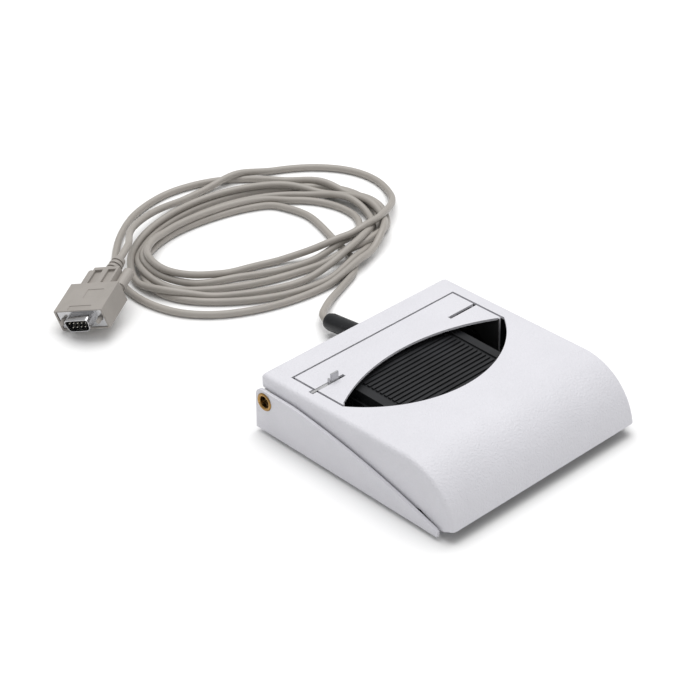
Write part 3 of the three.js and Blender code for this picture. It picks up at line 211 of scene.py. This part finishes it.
def grain_group():
    """Fine relief: a soft peel with a finer grain on it. Grain is in grains per metre."""
    if "Fine Grain" in bpy.data.node_groups:
        return bpy.data.node_groups["Fine Grain"]
    group = new_group(
        "Fine Grain",
        [("Grain", "NodeSocketFloat", 800.0), ("Share", "NodeSocketFloat", 0.4)],
        [("Height", "NodeSocketFloat")],
    )
    entry, leave = node(group, "NodeGroupInput"), node(group, "NodeGroupOutput")
    place = node(group, "ShaderNodeTexCoord")
    peel = node(group, "ShaderNodeTexNoise")
    fine = node(group, "ShaderNodeTexNoise")
    peel.inputs["Detail"].default_value = 1.5
    fine.inputs["Detail"].default_value = 2.0
    group.links.new(place.outputs["Object"], peel.inputs["Vector"])
    group.links.new(place.outputs["Object"], fine.inputs["Vector"])
    group.links.new(entry.outputs["Grain"], peel.inputs["Scale"])
    group.links.new(math_node(group, "MULTIPLY", entry.outputs["Grain"], 3.1), fine.inputs["Scale"])
    part = math_node(group, "MULTIPLY", fine.outputs["Fac"], entry.outputs["Share"])
    group.links.new(math_node(group, "ADD", peel.outputs["Fac"], part), leave.inputs["Height"])
    return group


def tone_group():
    """Slow changes of tone over a surface, and the mask that makes them."""
    if "Handled Tone" in bpy.data.node_groups:
        return bpy.data.node_groups["Handled Tone"]
    group = new_group(
        "Handled Tone",
        [
            ("Color", "NodeSocketColor", (0.5, 0.5, 0.5, 1.0)), ("Shade", "NodeSocketFloat", 0.9),
            ("Patches", "NodeSocketFloat", 30.0),
        ],
        [("Color", "NodeSocketColor"), ("Mask", "NodeSocketFloat")],
    )
    entry, leave = node(group, "NodeGroupInput"), node(group, "NodeGroupOutput")
    place = node(group, "ShaderNodeTexCoord")
    cloud = node(group, "ShaderNodeTexNoise")
    cloud.inputs["Detail"].default_value = 4.0
    cloud.inputs["Roughness"].default_value = 0.6
    group.links.new(place.outputs["Object"], cloud.inputs["Vector"])
    group.links.new(entry.outputs["Patches"], cloud.inputs["Scale"])
    spread = node(group, "ShaderNodeMapRange")
    spread.inputs["From Min"].default_value = 0.35
    spread.inputs["From Max"].default_value = 0.7
    group.links.new(cloud.outputs["Fac"], spread.inputs["Value"])
    darker = node(group, "ShaderNodeVectorMath", operation="SCALE")
    group.links.new(entry.outputs["Color"], darker.inputs[0])
    group.links.new(entry.outputs["Shade"], darker.inputs["Scale"])
    mix = node(group, "ShaderNodeMix", data_type="RGBA")
    group.links.new(spread.outputs["Result"], mix.inputs["Factor"])
    group.links.new(entry.outputs["Color"], mix.inputs["A"])
    group.links.new(darker.outputs["Vector"], mix.inputs["B"])
    group.links.new(mix.outputs["Result"], leave.inputs["Color"])
    group.links.new(spread.outputs["Result"], leave.inputs["Mask"])
    return group


def material(
        name, color, rough=(0.4, 0.5), metal=0.0, grain=800.0, share=0.4, depth=0.02, shade=0.93,
        patches=30.0, **sockets):
    """A finish with tone patches, roughness that follows them, and fine relief."""
    made = bpy.data.materials.new(name)
    made.use_nodes = True
    tree = made.node_tree
    shader = tree.nodes["Principled BSDF"]
    shader.inputs["Metallic"].default_value = metal
    for label, value in sockets.items():
        shader.inputs[label.replace("_", " ")].default_value = value
    tone = node(tree, "ShaderNodeGroup", node_tree=tone_group())
    tone.inputs["Color"].default_value = (*color, 1.0)
    tone.inputs["Shade"].default_value = shade
    tone.inputs["Patches"].default_value = patches
    tree.links.new(tone.outputs["Color"], shader.inputs["Base Color"])
    gloss = node(tree, "ShaderNodeMapRange")
    gloss.inputs["To Min"].default_value = rough[0]
    gloss.inputs["To Max"].default_value = rough[1]
    tree.links.new(tone.outputs["Mask"], gloss.inputs["Value"])
    tree.links.new(gloss.outputs["Result"], shader.inputs["Roughness"])
    relief = node(tree, "ShaderNodeGroup", node_tree=grain_group())
    relief.inputs["Grain"].default_value = grain
    relief.inputs["Share"].default_value = share
    bump = node(tree, "ShaderNodeBump")
    bump.inputs["Strength"].default_value = 1.0
    bump.inputs["Distance"].default_value = depth * MM
    tree.links.new(relief.outputs["Height"], bump.inputs["Height"])
    tree.links.new(bump.outputs["Normal"], shader.inputs["Normal"])
    return made


def finishes(context):
    """Makes each finish once and returns them by name."""
    if "Powder Coat" in bpy.data.materials:
        return bpy.data.materials
    colors = context.scene.pedal_finish
    dark = (0.010, 0.0105, 0.012)
    material("Powder Coat", colors.coat, rough=(0.38, 0.46), grain=800.0, share=0.5, depth=0.35, shade=0.96)
    dull = {"Specular_IOR_Level": 0.2}
    material(
        "Toe Rubber", colors.rubber, rough=(0.42, 0.62), grain=1500.0,
        depth=0.03, shade=1.9, patches=45.0, **dull)
    material(
        "Boot Rubber", colors.rubber, rough=(0.28, 0.40), grain=1500.0,
        depth=0.02, shade=1.6, patches=60.0, **dull)
    material("Black Moulding", dark, rough=(0.45, 0.6), grain=1800.0, depth=0.02, shade=1.4, **dull)
    # Painted shade: a near-black finish that stands in for the shadow inside the cover and the toe plate.
    material(
        "Painted Inside Shade", (0.03, 0.03, 0.032), rough=(0.6, 0.75), grain=900.0, depth=0.03, shade=0.8, **dull)
    material("Black Paint", dark, rough=(0.4, 0.55), grain=900.0, depth=0.03, shade=1.3, **dull)
    material(
        "Eyelet Brass", colors.brass, rough=(0.22, 0.42), metal=1.0, depth=0.01, shade=0.6, patches=400.0)
    material(
        "Pin Plate", (0.72, 0.70, 0.64), rough=(0.2, 0.3), metal=1.0, depth=0.004, shade=0.9, patches=500.0)
    material("Zinc Plate", colors.steel, rough=(0.25, 0.42), metal=1.0, depth=0.01, shade=0.8, patches=200.0)
    material(
        "Plug Shell Plate", colors.steel, rough=(0.18, 0.3), metal=1.0, depth=0.006, shade=0.85, patches=300.0)
    material(
        "Lead Sheath", colors.pvc, rough=(0.38, 0.5), grain=1600.0, depth=0.015, shade=0.88, patches=22.0)
    material(
        "Hood Moulding", colors.hood, rough=(0.45, 0.58), grain=2200.0, depth=0.03, shade=0.9, patches=60.0)
    material("Natural Nylon", colors.nylon, rough=(0.4, 0.5), depth=0.01, shade=0.92)
    material("Solder Resist", colors.board, rough=(0.25, 0.4), depth=0.01, shade=0.8)
    return bpy.data.materials


FINISH_OF_SLOT = {
    "white_coat": "Powder Coat", "brass": "Eyelet Brass", "steel": "Zinc Plate", "nickel": "Plug Shell Plate",
    "black_rubber": "Toe Rubber", "black_plastic": "Black Moulding", "black_steel": "Black Paint",
    "nylon": "Natural Nylon", "green_board": "Solder Resist", "grey_plastic": "Hood Moulding",
    "lead_grey": "Lead Sheath",
}


# ---------------------------------------------------------------- pieces

def add_object(name, data):
    made = bpy.data.objects.new(name, data)
    bpy.context.collection.objects.link(made)
    return made


def finished(name, edge=0.2, smooth=35.0, finish=None):
    """Stands for a CAD node: its shape with edges broken and curves shaded smooth, in its finish."""
    mesh = frame["nodes"][name].data.copy()
    body = bmesh.new()
    body.from_mesh(mesh)
    bmesh.ops.remove_doubles(body, verts=body.verts, dist=MERGE_DISTANCE)
    bmesh.ops.dissolve_limit(
        body, angle_limit=FLAT_ANGLE, verts=body.verts, edges=body.edges, delimit={"NORMAL"})
    body.to_mesh(mesh)
    body.free()
    mesh.name = f"{name}_finished"
    mesh.materials.clear()
    finish = finish or FINISH_OF_SLOT[SLOT_OF[name]]
    mesh.materials.append(finishes(bpy.context)[finish])
    made = add_object(f"{name}_piece", mesh)
    mesh.shade_smooth()
    mesh.set_sharp_from_angle(angle=math.radians(smooth))
    if edge:
        bevel = made.modifiers.new("Broken edge", "BEVEL")
        bevel.width = edge * MM
        bevel.segments = 2
        bevel.limit_method = "ANGLE"
        bevel.angle_limit = math.radians(smooth)
        bevel.use_clamp_overlap = True
        bevel.harden_normals = True
    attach(made, BODY_OF[name])
    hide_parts(name)
    return made


def paint_inside_shade(piece, skin):
    """Paints shade on the faces that look inward from under the skin: they get a near-black finish that stands
    in for the shadow inside.
    """
    mesh = piece.data
    mesh.materials.append(finishes(bpy.context)["Painted Inside Shade"])
    for face in mesh.polygons:
        inward = face.normal.x * face.center.x < 0 and abs(face.normal.x) > FACING
        under = face.center.z < skin
        if under and (inward or face.normal.z < -FACING):
            face.material_index = 1


def dressed(name, finish=None):
    """A CAD node that stays as it is, in its finish."""
    kept = frame["nodes"][name]
    kept.data.materials.clear()
    kept.data.materials.append(finishes(bpy.context)[finish or FINISH_OF_SLOT[SLOT_OF[name]]])
    return kept


# ---------------------------------------------------------------- the lead's route

def between(a, b, c, d, t):
    """Catmull-Rom curve from b to c, for numbers."""
    slope = c - a
    bow = 2 * a - 5 * b + 4 * c - d
    twist = 3 * b - a - 3 * c + d
    return b + 0.5 * t * (slope + t * (bow + t * twist))


def smooth_through(points, count):
    """Points of a smooth curve through the given ones, count to each stretch."""
    last = len(points) - 1
    made = []
    for i in range(last):
        around = [points[max(i - 1, 0)], points[i], points[i + 1], points[min(i + 2, last)]]
        for step in range(count):
            made.append(tuple(between(*axis, step / count) for axis in zip(*around)))
    made.append(tuple(points[-1]))
    return made


def coil_plan():
    """The coil's turns from above, worked out round the middle oval."""
    spreads = smooth_through([(spread,) for spread in COIL_SPREAD], STEPS_PER_EIGHTH)
    made = []
    for i, (spread,) in enumerate(spreads):
        angle = EIGHTH * (COIL_START + i / STEPS_PER_EIGHTH)
        x = COIL_MIDDLE[0] + COIL_HALF[0] * spread * math.cos(angle)
        y = COIL_MIDDLE[1] + COIL_HALF[1] * spread * math.sin(angle)
        made.append((x, y, 0.0))
    return made


def even_steps(points, step):
    """The same line as points a step apart from above."""
    made = [points[0]]
    carried = 0.0
    for a, b in zip(points, points[1:]):
        long = math.dist(a[:2], b[:2])
        while carried + long >= step and long > 0:
            share = (step - carried) / long
            a = tuple(p + share * (q - p) for p, q in zip(a, b))
            made.append(a)
            long = math.dist(a[:2], b[:2])
            carried = 0.0
        carried += long
    made.append(points[-1])
    return made


def laid_down(points, thick, step, slope):
    """Heights for the points, so that each stretch lies on the floor or over what was laid before it."""
    heights = []
    cells = {}
    skip = int(OWN_LENGTH * thick / step)
    for i, (x, y, low) in enumerate(points):
        height = max(low, thick / 2)
        cell = (int(x // thick), int(y // thick))
        for column in range(cell[0] - 1, cell[0] + 2):
            for row in range(cell[1] - 1, cell[1] + 2):
                for j in cells.get((column, row), ()):
                    apart = math.dist((x, y), points[j][:2])
                    if j < i - skip and apart < thick:
                        height = max(height, heights[j] + NESTING * math.sqrt(thick**2 - apart**2))
        cells.setdefault(cell, []).append(i)
        if heights:
            height = max(height, heights[-1] - slope * step)
        heights.append(height)
        j = i
        while j and heights[j - 1] < heights[j] - slope * step:
            heights[j - 1] = heights[j] - slope * step
            j -= 1
    return heights


def softened(heights, reach, lowest):
    """Running mean of the heights, never under the lowest."""
    made = []
    for i in range(len(heights)):
        near = heights[max(0, i - reach):i + reach + 1]
        made.append(max(lowest, sum(near) / len(near)))
    return made


def lead_route(thick, step, slope):
    """The whole lead from the strain relief to the plug, in metres."""
    points = smooth_through([*LEAD_START, *LEAD_UNDER, *coil_plan(), *LEAD_END], STEPS_PER_STRETCH)
    points = even_steps(points, step)
    heights = softened(laid_down(points, thick, step, slope), int(SOFTENING * thick / step), thick / 2)
    route = [(x, y, z) for (x, y, _), z in zip(points, heights)]
    route = [*route[:-1:KEPT_POINT], route[-1]]
    return [tuple(MM * value for value in point) for point in route]


# ---------------------------------------------------------------- operators

class PEDAL_OT_camera(bpy.types.Operator):
    """Sets the camera in front of the pedal's left corner"""

    bl_idname = "pedal.camera"
    bl_label = "Camera"

    def execute(self, context):
        stage = context.scene.pedal_stage
        cos, sin = math.cos(stage.elevation), math.sin(stage.elevation)
        back = Vector((math.sin(stage.azimuth) * cos, -math.cos(stage.azimuth) * cos, sin))
        right = Vector((math.cos(stage.azimuth), math.sin(stage.azimuth), 0.0))
        lens = bpy.data.cameras.new("Studio camera")
        lens.lens = stage.lens
        lens.sensor_width = SENSOR_WIDTH
        lens.clip_end = 50.0
        camera = add_object("Studio camera", lens)
        place = Vector(stage.target) + stage.distance * back
        turn = Matrix((right, back.cross(right), back)).transposed()
        camera.matrix_world = Matrix.Translation(place) @ turn.to_4x4()
        context.scene.camera = camera
        return {"FINISHED"}


class PEDAL_OT_lead(bpy.types.Operator):
    """Lays the lead from the strain relief through its coil to the plug"""

    bl_idname = "pedal.lead"
    bl_label = "Lead"

    def execute(self, context):
        settings = context.scene.pedal_lead
        route = lead_route(settings.diameter / MM, settings.step / MM, settings.hump)
        curve = bpy.data.curves.new("lead", "CURVE")
        curve.dimensions = "3D"
        curve.bevel_depth = settings.diameter / 2
        curve.bevel_resolution = 4
        curve.resolution_u = 2
        curve.use_fill_caps = True
        spline = curve.splines.new("NURBS")
        spline.points.add(len(route) - 1)
        for point, place in zip(spline.points, route):
            point.co = (*place, 1.0)
        spline.order_u = 3
        spline.use_endpoint_u = True
        curve.materials.append(finishes(context)["Lead Sheath"])
        lead = add_object("lead", curve)
        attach(lead, "base")
        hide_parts("lead_tail", "lead_coil", "plug_lead")
        plug = [finished(name, edge, finish=finish) for name, edge, finish in (
            ("plug_hood", 0.35, None), ("plug_shell", 0.15, None), ("plug_insulator", 0.0, None),
            ("contact_pins", 0.0, "Pin Plate"), ("thumbscrew_left", 0.2, "Hood Moulding"),
            ("thumbscrew_right", 0.2, "Hood Moulding"))]
        boot = finished("strain_relief", 0.3, finish="Boot Rubber")
        return {"FINISHED"}


class PEDAL_OT_coated_metal(bpy.types.Operator):
    """Finishes the tray, the cover and the flap in textured powder coat, with painted shade on the inside of
    the cover and the flap
    """

    bl_idname = "pedal.coated_metal"
    bl_label = "Coated metal"

    def execute(self, context):
        finished("base_tray", 0.35)
        for name, edge in (("cover", 0.35), ("toe_plate", 0.3)):
            piece = finished(name, edge)
            # The inside faces get painted shade, a near-black finish in place of the shadow under the cover.
            paint_inside_shade(piece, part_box("toe_plate")[1].z - 2 * SHEET)
        return {"FINISHED"}


class PEDAL_OT_toe_pad(bpy.types.Operator):
    """Finishes the ribbed toe pad and its carrier"""

    bl_idname = "pedal.toe_pad"
    bl_label = "Toe pad"

    def execute(self, context):
        finished("ribbed_pad", 0.3)
        finished("pad_carrier", 0.2)
        return {"FINISHED"}


class PEDAL_OT_fittings(bpy.types.Operator):
    """Finishes the eyelets, the lock slide, the rods, the washers and the feet"""

    bl_idname = "pedal.fittings"
    bl_label = "Fittings"

    def execute(self, context):
        for name in ("eyelet_left", "eyelet_right", "lock_slide"):
            finished(name, 0.15)
        for name in ("foot_front_left", "foot_front_right", "foot_rear_left", "foot_rear_right"):
            finished(name, 0.2)
        for name in ("hinge_washer_left", "hinge_washer_right", "toe_plate_rod", "pad_rod"):
            dressed(name)
        return {"FINISHED"}


class PEDAL_OT_inside(bpy.types.Operator):
    """Finishes what is under the cover: liner, board, switches, springs, brackets and clamp"""

    bl_idname = "pedal.inside"
    bl_label = "Inside"

    def execute(self, context):
        for name, kept in frame["nodes"].items():
            if not kept.hide_render:
                dressed(name)
        return {"FINISHED"}


class PEDAL_OT_stage(bpy.types.Operator):
    """Makes the pale floor and the soft light"""

    bl_idname = "pedal.stage"
    bl_label = "Stage"

    def execute(self, context):
        stage = context.scene.pedal_stage
        half = stage.floor_width / 2
        mesh = bpy.data.meshes.new("floor")
        corners = [(-half, -half, 0), (half, -half, 0), (half, half, 0), (-half, half, 0)]
        mesh.from_pydata(corners, [], [(0, 1, 2, 3)])
        mesh.materials.append(material(
            "Studio Floor", stage.floor_color, rough=(0.8, 0.9), grain=40.0, depth=0.01, shade=0.995,
            patches=1.5))
        floor = add_object("floor", mesh)
        world = bpy.data.worlds.new("Studio")
        world.use_nodes = True
        sky = world.node_tree.nodes["Background"]
        sky.inputs["Color"].default_value = (1.0, 1.0, 1.0, 1.0)
        sky.inputs["Strength"].default_value = stage.sky
        context.scene.world = world
        lamp = bpy.data.lights.new("Overhead", "AREA")
        lamp.size = stage.light_width
        lamp.energy = stage.top_light
        light = add_object("Overhead", lamp)
        light.location = stage.light_place
        aim = Vector(stage.light_aim) - light.location
        light.rotation_euler = aim.to_track_quat("-Z", "Y").to_euler()
        context.scene.view_settings.view_transform = "Standard"
        return {"FINISHED"}


class PEDAL_PT_panel(bpy.types.Panel):
    """Buttons and settings of the foot pedal"""

    bl_label = "Foot Pedal"
    bl_idname = "PEDAL_PT_panel"
    bl_space_type = "VIEW_3D"
    bl_region_type = "UI"
    bl_category = "Foot Pedal"

    def draw(self, context):
        for step in STEPS:
            self.layout.operator(step.bl_idname)
        for group in (context.scene.pedal_stage, context.scene.pedal_lead, context.scene.pedal_finish):
            for name in group.__annotations__:
                self.layout.prop(group, name)


STEPS = (
    PEDAL_OT_camera, PEDAL_OT_lead, PEDAL_OT_coated_metal, PEDAL_OT_toe_pad, PEDAL_OT_fittings,
    PEDAL_OT_inside, PEDAL_OT_stage,
)
CLASSES = (StageSettings, LeadSettings, FinishSettings, *STEPS, PEDAL_PT_panel)


def register():
    for item in CLASSES:
        bpy.utils.register_class(item)
    bpy.types.Scene.pedal_stage = PointerProperty(type=StageSettings)
    bpy.types.Scene.pedal_lead = PointerProperty(type=LeadSettings)
    bpy.types.Scene.pedal_finish = PointerProperty(type=FinishSettings)


def unregister():
    del bpy.types.Scene.pedal_finish
    del bpy.types.Scene.pedal_lead
    del bpy.types.Scene.pedal_stage
    for item in reversed(CLASSES):
        bpy.utils.unregister_class(item)


def main():
    register()
    for step in STEPS:
        group, name = step.bl_idname.split(".")
        getattr(getattr(bpy.ops, group), name)()


if __name__ == "__main__":
    main()
